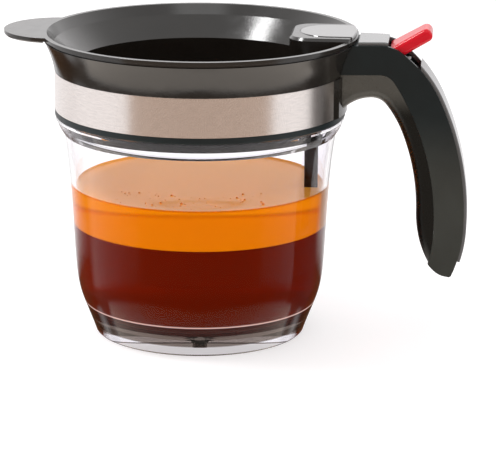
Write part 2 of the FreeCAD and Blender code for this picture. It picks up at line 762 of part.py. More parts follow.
# ---- Lever, rocker, pin and spring -----------------------------------------------------------
def make_thumb_lever():
    """The red thumb pad, with a socket for the rocker's tongue."""
    corners = [pad_point(0, 0), pad_point(pad_length, 0), pad_point(pad_length, pad_t), pad_point(0, pad_t)]
    body = plate(lines(corners, True), blank_half)
    ends = [e for e in body.Edges if abs(e.Length - 2 * blank_half) < fit
            and e.Vertexes[0].X > pad_point(pad_length, 0)[0] - fit]
    body = body.makeFillet(pad_end_round, ends).common(wedge(bay_wall + pad_side_gap))
    top = [e for e in body.Edges if pad_top_edge(e)]
    body = body.makeFillet(pad_round, top)
    socket = plate(tongue_outline(joint_gap / 2), tongue_half + joint_gap / 2)
    body = body.cut(socket).cut(rocker_link())
    return only(body.cut(cyl_y(hub_r + fit, pivot_x, pivot_z, WIDE)))


def pad_top_edge(edge):
    """True for the two long top edges of the thumb pad."""
    middle = edge.valueAt((edge.FirstParameter + edge.LastParameter) / 2)
    start, end = pad_point(0, 0), pad_point(pad_length, 0)
    line = Part.LineSegment(xz(start), xz(end)).toShape()
    close = Part.Vertex(V(middle.x, 0, middle.z)).distToShape(line)[0] < pick
    return close and abs(middle.y) > fit and edge.Length > pad_length / 2


def tongue_outline(grow):
    """Side outline of the rocker's tongue, which sits in the thumb pad."""
    top, low = tongue_depth - grow, tongue_depth + tongue_t + grow
    return lines([pad_point(-pad_t, top), pad_point(tongue_end + grow, top),
                  pad_point(tongue_end + grow, low), pad_point(-pad_t, low)], True)


def rocker_link():
    """The web between the rocker's hub and its tongue."""
    link = [pad_point(link_lap, tongue_depth), pad_point(link_lap, tongue_depth + tongue_t),
            (pivot_x, shelf_low_z), (pivot_x - hub_r / 2, arm_top_z)]
    return plate(lines(link, True), tongue_half)


def make_rocker():
    """The black rocker: fork at the stem, hub on the pin, tongue in the thumb pad, spring shelf."""
    arm = box(fork_end_x, pivot_x, fork_half, arm_low_z, arm_top_z)
    hub = cyl_y(hub_r, pivot_x, pivot_z, fork_half)
    shelf = box(pivot_x, shelf_end_x, fork_half / 2, shelf_low_z, shelf_low_z + shelf_t)
    body = arm.fuse(hub).fuse(shelf).fuse(rocker_link())
    tongue = [pad_point(0, tongue_depth), pad_point(tongue_end, tongue_depth),
              pad_point(tongue_end, tongue_depth + tongue_t), pad_point(0, tongue_depth + tongue_t)]
    body = body.fuse(plate(lines(tongue, True), tongue_half))
    body = body.cut(box(0, fork_root_x, stem_half + fork_gap, 0, FAR))
    body = body.cut(cyl_y(pin_r + pin_gap, pivot_x, pivot_z, WIDE))
    half_slot = stem_pin_r + pin_slot_gap
    slot = box(stem_x - pin_slot_run, stem_x + pin_slot_run, WIDE, stem_pin_z - half_slot,
               stem_pin_z + half_slot)
    for end in (-1, 1):
        slot = slot.fuse(cyl_y(half_slot, stem_x + end * pin_slot_run, stem_pin_z, WIDE))
    return only(body.cut(slot))


def make_lever_pin():
    """The steel pin that the rocker turns on, held in the shell's side walls."""
    return only(cyl_y(pin_r, pivot_x, pivot_z, WIDE).common(wedge(bay_wall / 2)))


def make_return_spring():
    """The coil spring that lifts the thumb pad, on its pocket's floor, with a six-sided section."""
    height = shelf_low_z - spring_seat_gap - spring_floor_z - 2 * spring_wire_r
    helix = Part.makeHelix(height / spring_turns, height, spring_r)
    section = six_sided(spring_wire_r, V(spring_r, 0, 0), UP).OuterWire
    coil = Part.Wire(helix).makePipeShell([section], True, True)
    coil.translate(V(spring_x, 0, spring_floor_z + spring_wire_r))
    return coil


# ---- Stem, pin and plug ----------------------------------------------------------------------
def make_stem():
    """The stem: grooved bar, elbow, foot and the hub that holds the plug."""
    x0, x1 = stem_x - stem_thick / 2, stem_x + stem_thick / 2
    foot_top = foot_low_z + foot_t
    inner_r = elbow_r - stem_thick
    low = [(x1, foot_low_z + elbow_r), (x1, stem_top_z), (x0, stem_top_z), (x0, foot_top + inner_r)]
    bend = math.sqrt(0.5)
    outer = arc3(low[0], (x1 - elbow_r * (1 - bend), foot_low_z + elbow_r * (1 - bend)),
                 (x1 - elbow_r, foot_low_z))
    inner = arc3(low[-1], (x0 - inner_r * (1 - bend), foot_top + inner_r * (1 - bend)),
                 (x0 - inner_r, foot_top))
    foot = [(x0 - inner_r, foot_top), (0, foot_top), (0, foot_low_z), (x1 - elbow_r, foot_low_z)]
    body = plate([outer, inner] + lines(low) + lines(foot), stem_half)
    hub = Part.makeCylinder(hub_plug_r, foot_top - hub_low_z, V(0, 0, hub_low_z))
    body = body.fuse(hub)
    body = body.cut(Part.makeCylinder(plug_neck_r + neck_gap, foot_top, V(0, 0, hub_low_z - fit)))
    body = body.cut(box(x0 - fit, x0 + groove_depth, groove_half, groove_low_z, groove_top_z))
    return only(body.cut(cyl_y(stem_pin_r, stem_x, stem_pin_z, WIDE)))


def make_stem_pin():
    """The cross pin in the stem's head, which the rocker's fork lifts."""
    return cyl_y(stem_pin_r, stem_x, stem_pin_z, fork_half)


def make_plug():
    """The silicone plug: cone in the seat, body, neck through the hub and head."""
    slope = (seat_r - drain_bore_r) / seat_depth
    tip_z = seat_low_z + plug_seat_gap * math.hypot(1, slope) / slope
    cone_r = seat_r - fit
    cone_z = tip_z + (cone_r - drain_bore_r) / slope
    head_z = foot_low_z + foot_t + neck_gap
    body_top = hub_low_z
    points = [(0, tip_z), (drain_bore_r, tip_z), (cone_r, cone_z), (plug_r, cone_z + fit),
              (plug_r, body_top - fit), (plug_r - 2 * fit, body_top), (plug_neck_r, body_top),
              (plug_neck_r, head_z), (plug_head_r, head_z), (plug_neck_r, head_z + plug_head_h),
              (0, head_z + plug_head_h)]
    return turned(lines(points, True))


# ---- Fasteners -------------------------------------------------------------------------------
def countersunk(position, direction, length, entry):
    """A countersunk screw, given the centre of its head's face and the way it points.

    With an entry above zero, the shape also clears the way to the head's face, for cutting its hole.
    """
    shape = Part.makeCylinder(screw_r, length, position, direction)
    shape = shape.fuse(Part.makeCone(screw_head_r, screw_r, screw_head_h, position, direction))
    if entry > 0:
        shape = shape.fuse(Part.makeCylinder(screw_head_r, entry, position - direction * entry, direction))
    return shape


def handle_screw_shapes(entry):
    """The two screws that hold the handle to the collar from inside."""
    return [countersunk(V(collar_bore_r + fit, side * handle_screw_y, handle_screw_z), V(1, 0, 0),
                        handle_screw_len, entry) for side in (-1, 1)]


def trim_screw_shapes(entry):
    """The screws that hold the trim, driven from under the soft grip."""
    shapes = [countersunk(V(trim_screw_x, side * trim_screw_y, crease_z), UP, trim_screw_len, entry)
              for side in (-1, 1)]
    crease, end = tangent_chain((root_x, crease_z), 0, crease_run_x - root_x, crease_arcs, 0)
    level = Part.LineSegment(V(0, 0, trim_screw_low_z), V(FAR, 0, trim_screw_low_z)).toShape()
    hit = wire(crease).distToShape(level)[1][0][0]
    shapes.append(countersunk(V(hit.x + fit, 0, trim_screw_low_z), V(1, 0, 0), trim_screw_len, entry))
    return shapes


def grouped(shapes):
    """Separate solids written as one node."""
    return Part.makeCompound([only(s) for s in shapes])


def main():
    """Makes every node."""
    os.makedirs("parts", exist_ok=True)
    export("cup", make_cup())
    export("collar", make_collar())
    export("collar_seal", make_collar_seal())
    export("steel_band", make_steel_band())
    export("retaining_ring", make_retaining_ring())
    export("lid", make_lid())
    export("stem_cover", make_stem_cover())
    export("strainer", make_strainer())
    export("handle_shell", make_handle_shell())
    export("handle_grip", make_handle_grip())
    export("handle_trim", make_handle_trim())
    export("handle_screws", grouped(handle_screw_shapes(0)))
    export("trim_screws", grouped(trim_screw_shapes(0)))
    export("thumb_lever", make_thumb_lever())
    export("rocker", make_rocker())
    export("lever_pin", make_lever_pin())
    export("return_spring", make_return_spring())
    export("stem", make_stem())
    export("stem_pin", make_stem_pin())
    export("plug", make_plug())


main()
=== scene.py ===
import logging
import math
import random
from dataclasses import dataclass, field
from enum import Enum

import bmesh
import bpy
from mathutils import Matrix, Vector
from mathutils.bvhtree import BVHTree


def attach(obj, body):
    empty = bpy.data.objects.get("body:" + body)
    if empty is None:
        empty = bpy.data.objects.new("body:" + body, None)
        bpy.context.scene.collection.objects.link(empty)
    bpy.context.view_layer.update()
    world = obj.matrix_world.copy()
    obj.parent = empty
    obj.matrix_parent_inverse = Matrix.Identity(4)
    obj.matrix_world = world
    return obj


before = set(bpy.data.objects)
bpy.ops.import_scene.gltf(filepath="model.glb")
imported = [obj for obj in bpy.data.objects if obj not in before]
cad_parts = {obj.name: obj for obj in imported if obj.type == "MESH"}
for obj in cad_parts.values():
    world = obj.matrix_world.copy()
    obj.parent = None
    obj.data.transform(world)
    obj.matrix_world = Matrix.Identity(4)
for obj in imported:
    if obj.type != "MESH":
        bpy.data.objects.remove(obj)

log = logging.getLogger("separator")

Colour = tuple[float, float, float]
Point2 = tuple[float, float]
Point3 = tuple[float, float, float]
Socket = bpy.types.NodeSocket
Value = float | bpy.types.NodeSocket
Paint = tuple[float, float, float, float] | bpy.types.NodeSocket

NOISE_LOW, NOISE_HIGH = 0.3, 0.7          # nearly all of a noise's values lie between these


# ---- Node graphs -----------------------------------------------------------------------------
class Graph:
    """A material's or the world's node tree, with short ways to add and join nodes."""

    def __init__(self, tree: bpy.types.NodeTree) -> None:
        """Clears the tree.

        Args:
            tree: the node tree to build in.
        """
        self.tree = tree
        tree.nodes.clear()

    def add(self, kind: str, inputs: dict | None = None, **settings: object) -> bpy.types.Node:
        """Adds a node.

        Args:
            kind: the node's Blender type.
            inputs: input name or number to a value or to another node's output.
            settings: the node's own settings, such as operation="ADD".

        Returns:
            The new node.
        """
        node = self.tree.nodes.new(kind)
        for name, value in settings.items():
            setattr(node, name, value)
        for key, value in (inputs or {}).items():
            if isinstance(value, Socket):
                self.tree.links.new(value, node.inputs[key])
            else:
                node.inputs[key].default_value = value
        return node

    def math(self, operation: str, a: Value, b: Value = 0.0) -> Socket:
        """Adds a Math node.

        Args:
            operation: its operation.
            a: first value or socket.
            b: second value or socket.

        Returns:
            The node's output.
        """
        return self.add("ShaderNodeMath", {0: a, 1: b}, operation=operation).outputs[0]

    def product(self, *factors: Value) -> Value:
        """Multiplies values.

        Args:
            factors: the values or sockets.

        Returns:
            The product's output, or the factor where there is only one.
        """
        result = factors[0]
        for factor in factors[1:]:
            result = self.math("MULTIPLY", result, factor)
        return result

    def axes(self, vector: Socket) -> list[Socket]:
        """A vector's x, y and z."""
        return list(self.add("ShaderNodeSeparateXYZ", {0: vector}).outputs)

    def reach(self, x: Socket, y: Socket) -> Socket:
        """The level distance from the upright axis."""
        return self.math("SQRT", self.math("ADD", self.product(x, x), self.product(y, y)))

    def ease(self, value: Value, low: float, high: float, start: float = 0.0,
             end: float = 1.0) -> Socket:
        """Maps a value smoothly from one range to another.

        Args:
            value: the value or socket to map.
            low: value where the change starts.
            high: value where the change ends.
            start: result at low.
            end: result at high.

        Returns:
            The mapped output.
        """
        node = self.add("ShaderNodeMapRange", {0: value, 1: low, 2: high, 3: start, 4: end},
                        interpolation_type="SMOOTHSTEP")
        return node.outputs[0]

    def between(self, value: Socket, low: float, high: float, soft: float) -> Socket:
        """A share that is full between two values.

        Args:
            value: the socket to test.
            low: lower end.
            high: upper end.
            soft: how far beyond each end the share takes to fall to none.

        Returns:
            The share's output.
        """
        return self.product(self.ease(value, low - soft, low), self.ease(value, high + soft, high))

    def blend(self, factor: Value, a: Paint, b: Paint) -> Socket:
        """Mixes two colours.

        Args:
            factor: share of the second colour.
            a: first colour or socket.
            b: second colour or socket.

        Returns:
            The mixed colour's output.
        """
        node = self.add("ShaderNodeMix", {0: factor, 6: a, 7: b}, data_type="RGBA")
        return node.outputs[2]

    def noise(self, vector: Socket, scale: float, octaves: float) -> Socket:
        """Adds a noise texture.

        Args:
            vector: its coordinates.
            scale: cells in each unit of the coordinates.
            octaves: its detail.

        Returns:
            The noise's value, nearly always between NOISE_LOW and NOISE_HIGH.
        """
        node = self.add("ShaderNodeTexNoise", {"Vector": vector, "Scale": scale, "Detail": octaves})
        return node.outputs[0]

    def spread(self, noise: Socket, low: float, high: float) -> Socket:
        """Spreads a noise's values over a range.

        Args:
            noise: the noise's value.
            low: result where it is low.
            high: result where it is high.

        Returns:
            The mapped output.
        """
        return self.ease(noise, NOISE_LOW, NOISE_HIGH, low, high)

    def bump(self, height: Socket, distance: float, normal: Socket | None = None) -> Socket:
        """Adds a bump.

        Args:
            height: the relief.
            distance: its depth in metres.
            normal: the normal that it starts from, where that isn't the surface's own.

        Returns:
            The new normal.
        """
        inputs = {"Height": height, "Distance": distance, "Strength": 1.0}
        if normal is not None:
            inputs["Normal"] = normal
        return self.add("ShaderNodeBump", inputs).outputs[0]


def new_material(name: str) -> tuple[bpy.types.Material, Graph, Socket]:
    """Starts a material.

    Args:
        name: its name.

    Returns:
        The material, its graph and the object coordinates.
    """
    material = bpy.data.materials.new(name)
    material.use_nodes = True
    g = Graph(material.node_tree)
    return material, g, g.add("ShaderNodeTexCoord").outputs["Object"]


def rgba(colour: Colour) -> tuple[float, float, float, float]:
    """A colour with full alpha."""
    return (*colour, 1.0)


def scaled(colour: Colour, share: float) -> tuple[float, float, float, float]:
    """A colour made lighter or darker, with full alpha."""
    return rgba(tuple(c * share for c in colour))


# ---- Finishes --------------------------------------------------------------------------------
@dataclass(frozen=True)
class Moulded:
    """Moulded plastic or silicone: colour that drifts, grain, worn gloss and soft edges, with, where
    set, painted light and shade that fade with height.
    """

    name: str
    colour: Colour
    rough: Point2 = (0.2, 0.28)           # the least and the most
    drift: float = 0.12                   # how far the colour's value goes up and down
    drift_scale: float = 35.0             # the scales are in cells to the metre
    wipe_scale: float = 160.0             # wiping marks, which the roughness follows
    grain_scale: float = 900.0
    grain_depth: float = 0.00002
    edge: float = 0.00025                 # radius that edges look rounded to
    ior: float = 1.5
    coat: float = 0.0
    coat_rough: float = 0.05
    subsurface: float = 0.0
    subsurface_depth: float = 0.001
    painted_low_colour: Colour | None = None      # painted light or shade: colour that it fades to between two heights
    painted_fade: Point2 = (0.115, 0.075)         # where that painted fade starts and ends

    def build(self) -> bpy.types.Material:
        """Makes the material.

        Returns:
            The new material.
        """
        material, g, place = new_material(self.name)
        clouds = g.noise(place, self.drift_scale, 4.0)
        wipe = g.noise(place, self.wipe_scale, 5.0)
        grain = g.noise(place, self.grain_scale, 2.0)
        base = rgba(self.colour)
        # Painted light and shade: the colour fades between two heights by how light falls on the
        # piece.
        if self.painted_low_colour is not None:
            base = g.blend(g.ease(g.axes(place)[2], *self.painted_fade), base, rgba(self.painted_low_colour))
        value = g.spread(clouds, 1.0 - self.drift, 1.0 + self.drift)
        tone = g.add("ShaderNodeHueSaturation", {"Color": base, "Value": value}).outputs[0]
        edges = g.add("ShaderNodeBevel", {"Radius": self.edge}, samples=4).outputs[0]
        shader = g.add("ShaderNodeBsdfPrincipled", {
            "Base Color": tone,
            "Roughness": g.spread(wipe, *self.rough),
            "Normal": g.bump(grain, self.grain_depth, edges),
            "IOR": self.ior,
            "Coat Weight": self.coat,
            "Coat Roughness": self.coat_rough,
            "Subsurface Weight": self.subsurface,
            "Subsurface Scale": self.subsurface_depth})
        g.add("ShaderNodeOutputMaterial", {"Surface": shader.outputs[0]})
        return material


class Lay(Enum):
    """Which way the fine lines of a worked metal run."""

    ROUND_CUP = "round the cup"
    ACROSS = "across the handle"
    ALONG = "along the piece"


@dataclass(frozen=True)
class Worked:
    """Worked steel: fine lines that stretch the highlights, with small changes of tone."""

    name: str
    colour: Colour
    rough: Point2 = (0.2, 0.32)           # the least and the most
    tones: Point2 = (0.93, 1.04)          # the darkest and the lightest share of the colour
    lay: Lay = Lay.ROUND_CUP
    fine_scale: float = 9000.0            # the scales are in cells to the metre
    broad_scale: float = 1400.0
    turn_share: float = 0.012             # a radian round the cup, in metres of the noise
    stretch: float = 0.03                 # a metre along the lines, in metres of the noise
    pull: float = 0.5                     # how far the highlights stretch
    pull_turn: float = 0.25
    depth: float = 0.000004

    def line_place(self, g: Graph, place: Socket) -> Socket:
        """Coordinates stretched along the lines.

        Args:
            g: the material's graph.
            place: the object coordinates.

        Returns:
            A vector output for the noise.
        """
        if self.lay is Lay.ROUND_CUP:
            x, y, z = g.axes(place)
            turn = g.product(g.math("ARCTAN2", y, x), self.turn_share)
            return g.add("ShaderNodeCombineXYZ", {0: turn, 1: z, 2: 0.0}).outputs[0]
        scale = (1.0, self.stretch, 1.0) if self.lay is Lay.ACROSS else (1.0, 1.0, self.stretch)
        return g.add("ShaderNodeMapping", {"Vector": place, "Scale": scale}).outputs[0]

    def build(self) -> bpy.types.Material:
        """Makes the material.

        Returns:
            The new material.
        """
        material, g, place = new_material(self.name)
        lines = self.line_place(g, place)
        fine = g.noise(lines, self.fine_scale, 2.0)
        broad = g.noise(lines, self.broad_scale, 4.0)
        dark, light = (scaled(self.colour, share) for share in self.tones)
        values = {"Base Color": g.blend(g.spread(broad, 0.0, 1.0), dark, light),
                  "Roughness": g.spread(fine, *self.rough),
                  "Normal": g.bump(fine, self.depth),
                  "Metallic": 1.0,
                  "Anisotropic": self.pull,
                  "Anisotropic Rotation": self.pull_turn}
        if self.lay is Lay.ROUND_CUP:
            tangent = g.add("ShaderNodeTangent", direction_type="RADIAL", axis="Z")
            values["Tangent"] = tangent.outputs[0]
        shader = g.add("ShaderNodeBsdfPrincipled", values)
        g.add("ShaderNodeOutputMaterial", {"Surface": shader.outputs[0]})
        return material


@dataclass(frozen=True)
class Clear:
    """Clear moulded plastic or a liquid, which lets the lamp's light through."""

    name: str
    ior: float
    absorbs: Colour = (0.0, 0.0, 0.0)     # for each metre of light's way through it
    rough: float = 0.0
    waviness: float = 0.0                 # depth of its slow waves
    wave_scale: float = 60.0              # in cells to the metre
    tint: Colour = (1.0, 1.0, 1.0)
    cloud: float = 0.0                    # share of the light that it scatters
    gloss: float = 1.0                    # share of the mirroring that a face in air would have
    painted_glow: float = 0.0                     # painted glow, standing in for light scattered out of the depth
    painted_glow_tint: Colour | None = None       # its colour, where it isn't the tint

    def shade(self, g: Graph, place: Socket) -> Paint:
        """The colour that each face gives to what passes it.

        Args:
            g: the material's graph.
            place: the object coordinates.

        Returns:
            A colour or a socket.
        """
        return rgba(self.tint)

    def light(self, g: Graph, place: Socket) -> Value:
        """How strongly each face glows with painted light that stands in for light from the depth.

        Args:
            g: the material's graph.
            place: the object coordinates.

        Returns:
            A strength or a socket.
        """
        return self.painted_glow

    def build(self) -> bpy.types.Material:
        """Makes the material.

        Returns:
            The new material.
        """
        material, g, place = new_material(self.name)
        values = {"Base Color": self.shade(g, place),
                  "Roughness": self.rough,
                  "IOR": self.ior,
                  "Specular Tint": scaled((1.0, 1.0, 1.0), self.gloss),
                  "Transmission Weight": 1.0 - self.cloud,
                  # The emission is a painted glow, not a lamp.
                  "Emission Color": rgba(self.painted_glow_tint or self.tint),
                  "Emission Strength": self.light(g, place)}
        if self.waviness > 0:
            values["Normal"] = g.bump(g.noise(place, self.wave_scale, 2.0), self.waviness)
        shader = g.add("ShaderNodeBsdfPrincipled", values).outputs[0]
        through = g.add("ShaderNodeBsdfTransparent", {0: rgba(self.tint)}).outputs[0]
        shadow = g.add("ShaderNodeLightPath").outputs["Is Shadow Ray"]
        mixed = g.add("ShaderNodeMixShader", {0: shadow, 1: shader, 2: through})
        ends = {"Surface": mixed.outputs[0]}
        most = max(self.absorbs)
        if most > 0:
            colour = tuple(1.0 - a / most for a in self.absorbs)
            volume = g.add("ShaderNodeVolumeAbsorption", {"Color": rgba(colour), "Density": most})
            ends["Volume"] = volume.outputs[0]
        g.add("ShaderNodeOutputMaterial", ends)
        return material


@dataclass(frozen=True)
class ClearWithPaintedShadeBase(Clear):
    """Clear plastic whose thick floor, standing edge and drain are tinted darker with painted shade,
    as they look from the side.
    """

    # The painted shade's colour, and the zones it lies in: floor, standing edge and drain.
    painted_shade_colour: Colour = (0.25, 0.21, 0.19)
    floor_low: float = 0.0052
    floor_high: float = 0.0150
    edge_top: float = 0.0009
    drain_r: float = 0.0056
    soft: float = 0.0008                  # how softly the zones of painted shade end
    painted_line_low: float = 0.0154              # the painted highlight, a bright line above the shaded floor
    painted_line_high: float = 0.0158
    painted_line_soft: float = 0.0003

    def shade(self, g: Graph, place: Socket) -> Paint:
        """The colour that each face gives to what passes it, darker with painted shade in three
        zones.

        Args:
            g: the material's graph.
            place: the object coordinates.

        Returns:
            The colour's socket.
        """
        x, y, z = g.axes(place)
        floor = g.between(z, self.floor_low, self.floor_high, self.soft)
        edge = g.ease(z, self.edge_top, self.edge_top / 2)
        drain = g.ease(g.reach(x, y), self.drain_r, self.drain_r - self.soft)
        zone = g.math("MAXIMUM", floor, g.math("MAXIMUM", edge, drain))
        return g.blend(zone, rgba(self.tint), rgba(self.painted_shade_colour))

    def light(self, g: Graph, place: Socket) -> Value:
        """A painted highlight: the bright line where the thick floor meets the wall.

        Args:
            g: the material's graph.
            place: the object coordinates.

        Returns:
            The strength's socket.
        """
        line = g.between(g.axes(place)[2], self.painted_line_low, self.painted_line_high, self.painted_line_soft)
        return g.product(line, self.painted_glow)


@dataclass(frozen=True)
class Finishes:
    """The finish of each piece of the separator, and of the two liquids in it."""

    # Its glow is a painted highlight: a pinkish line where the thick floor meets the wall.
    clear_plastic: Clear = ClearWithPaintedShadeBase(
        "clear_plastic", 1.49, absorbs=(4.0, 5.0, 5.5), waviness=0.00001,
        tint=(0.97, 0.965, 0.985), gloss=0.1, painted_glow=0.55, painted_glow_tint=(1.0, 0.72, 0.66))
    dark_gloss: Moulded = Moulded(
        "dark_gloss", (0.012, 0.010, 0.008), rough=(0.14, 0.20), ior=1.58)
    deep_black: Moulded = Moulded(
        "deep_black", (0.004, 0.005, 0.006), rough=(0.4, 0.5), ior=1.3)
    # Painted reflection: the shell is lighter towards the bottom, where it would mirror the bright
    # table.
    charcoal: Moulded = Moulded(
        "charcoal", (0.003, 0.010, 0.012), rough=(0.34, 0.44), grain_scale=1600.0,
        grain_depth=0.00003, ior=1.42, painted_low_colour=(0.034, 0.038, 0.033))
    # Painted sheen: the grip is lighter on its arch and near black lower down.
    soft_grip: Moulded = Moulded(
        "soft_grip", (0.085, 0.082, 0.070), rough=(0.24, 0.32), grain_scale=2200.0,
        grain_depth=0.00002, ior=1.35, painted_low_colour=(0.004, 0.005, 0.004), painted_fade=(0.124, 0.110))
    trim_gloss: Moulded = Moulded(
        "trim_gloss", (0.125, 0.128, 0.130), rough=(0.10, 0.14), grain_depth=0.000004, coat=0.25)
    cover_gloss: Moulded = Moulded(
        "cover_gloss", (0.030, 0.028, 0.028), rough=(0.08, 0.12), grain_depth=0.000003, coat=0.6)
    brushed_band: Worked = Worked("brushed_band", (0.86, 0.80, 0.77))
    red_plastic: Moulded = Moulded(
        "red_plastic", (0.62, 0.008, 0.020), rough=(0.10, 0.16), drift=0.05,
        grain_depth=0.00001, ior=1.3)
    dark_works: Moulded = Moulded("dark_works", (0.016, 0.013, 0.012), rough=(0.25, 0.35))
    wet_stem: Moulded = Moulded(
        "wet_stem", (0.026, 0.006, 0.001), rough=(0.22, 0.32), grain_scale=500.0, ior=1.35)
    pin_steel: Worked = Worked("pin_steel", (0.62, 0.61, 0.60), lay=Lay.ACROSS)
    spring_steel: Worked = Worked("spring_steel", (0.50, 0.50, 0.49), lay=Lay.ALONG)
    screw_steel: Worked = Worked("screw_steel", (0.60, 0.59, 0.57), lay=Lay.ALONG)
    seal_silicone: Moulded = Moulded(
        "seal_silicone", (0.10, 0.10, 0.10), rough=(0.4, 0.5), subsurface=0.3)
    plug_silicone: Moulded = Moulded("plug_silicone", (0.03, 0.028, 0.027), rough=(0.4, 0.5))
    # The liquids' glows are painted light that stands in for light scattered through them; the fat's
    # top is a lighter copy with a stronger one.
    fat: Clear = Clear(
        "fat", 1.46, absorbs=(0.2, 2.5, 60.0), rough=0.04, tint=(1.0, 0.35, 0.003),
        cloud=0.40, gloss=0.0, painted_glow=0.06)
    fat_painted_top: Clear = Clear(
        "fat_painted_top", 1.28, absorbs=(0.2, 2.5, 60.0), rough=0.06, tint=(0.98, 0.40, 0.05),
        cloud=0.85, gloss=0.0, painted_glow=0.22)
    gravy: Clear = Clear(
        "gravy", 1.34, absorbs=(10.0, 45.0, 150.0), rough=0.04, tint=(0.24, 0.014, 0.001),
        cloud=0.6, gloss=0.0, painted_glow=0.04)


# ---- Mesh helpers ----------------------------------------------------------------------------
def new_piece(name: str, mesh: bmesh.types.BMesh, material: bpy.types.Material,
              smooth: bool = True) -> bpy.types.Object:
    """Makes an object of a bmesh, which is freed.

    Args:
        name: the piece's name.
        mesh: its faces.
        material: its finish.
        smooth: whether its faces are shaded smooth.

    Returns:
        The new object.
    """
    bmesh.ops.recalc_face_normals(mesh, faces=mesh.faces)
    data = bpy.data.meshes.new(name)
    mesh.to_mesh(data)
    mesh.free()
    data.materials.append(material)
    data.polygons.foreach_set("use_smooth", [smooth] * len(data.polygons))
    piece = bpy.data.objects.new(name, data)
    bpy.context.scene.collection.objects.link(piece)
    return piece


def turned_faces(mesh: bmesh.types.BMesh, profile: list[Point2], steps: int,
                 centre: Vector = Vector((0.0, 0.0, 0.0))) -> None:
    """Adds a profile turned about the upright axis through a centre.

    Args:
        mesh: the mesh to add to.
        profile: points (radius, height); the first and the last lie on the axis.
        steps: how many faces go round.
        centre: where the axis stands, and the height that heights count from.
    """
    first = mesh.verts.new(centre + Vector((0.0, 0.0, profile[0][1])))
    last = mesh.verts.new(centre + Vector((0.0, 0.0, profile[-1][1])))
    turns = [2.0 * math.pi * i / steps for i in range(steps)]
    rings = []
    for radius, height in profile[1:-1]:
        ring = [Vector((radius * math.cos(t), radius * math.sin(t), height)) for t in turns]
        rings.append([mesh.verts.new(centre + point) for point in ring])
    for i in range(steps):
        j = (i + 1) % steps
        mesh.faces.new((first, rings[0][i], rings[0][j]))
        mesh.faces.new((last, rings[-1][j], rings[-1][i]))
        for a, b in zip(rings, rings[1:]):
            mesh.faces.new((a[i], b[i], b[j], a[j]))


# ---- Sub-assemblies --------------------------------------------------------------------------
@dataclass
class SubAssembly:
    """Pieces that are made or dressed together."""

    finishes: Finishes

    def dress(self, finish: Moulded | Worked | Clear, *names: str) -> None:
        """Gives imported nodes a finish.

        Args:
            finish: the finish that they share.
            names: the nodes.
        """
        material = finish.build()
        for name in names:
            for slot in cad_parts[name].material_slots:
                slot.material = material
            log.info("%s: %s", name, finish.name)


@dataclass
class Vessel(SubAssembly):
    """The clear cup, its collar, band, ring and seal."""

    def build(self) -> None:
        """Dresses the vessel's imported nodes."""
        self.dress(self.finishes.clear_plastic, "cup")
        self.dress(self.finishes.dark_gloss, "collar")
        self.dress(self.finishes.seal_silicone, "collar_seal")
        self.dress(self.finishes.brushed_band, "steel_band")
        self.dress(self.finishes.charcoal, "retaining_ring")


@dataclass
class Handle(SubAssembly):
    """The arched handle with its grip, trim and screws."""

    def build(self) -> None:
        """Dresses the handle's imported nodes."""
        self.dress(self.finishes.charcoal, "handle_shell")
        self.dress(self.finishes.soft_grip, "handle_grip")
        self.dress(self.finishes.trim_gloss, "handle_trim")
        self.dress(self.finishes.screw_steel, "handle_screws", "trim_screws")


@dataclass
class Lever(SubAssembly):
    """The thumb lever, its rocker and spring, and the steel pins."""

    def build(self) -> None:
        """Dresses the lever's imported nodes."""
        self.dress(self.finishes.red_plastic, "thumb_lever")
        self.dress(self.finishes.dark_works, "rocker")
        self.dress(self.finishes.pin_steel, "lever_pin", "stem_pin")
        self.dress(self.finishes.spring_steel, "return_spring")


@dataclass
class Plunger(SubAssembly):
    """The stem and the plug on its foot."""

    def build(self) -> None:
        """Dresses the plunger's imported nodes."""
        self.dress(self.finishes.wet_stem, "stem")
        self.dress(self.finishes.plug_silicone, "plug")


@dataclass
class Lid(SubAssembly):
    """The lift-off lid with its strainer and the oval cover on its boss."""

    def build(self) -> None:
        """Dresses the lid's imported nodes."""
        self.dress(self.finishes.dark_gloss, "lid")
        self.dress(self.finishes.cover_gloss, "stem_cover")
        self.dress(self.finishes.deep_black, "strainer")


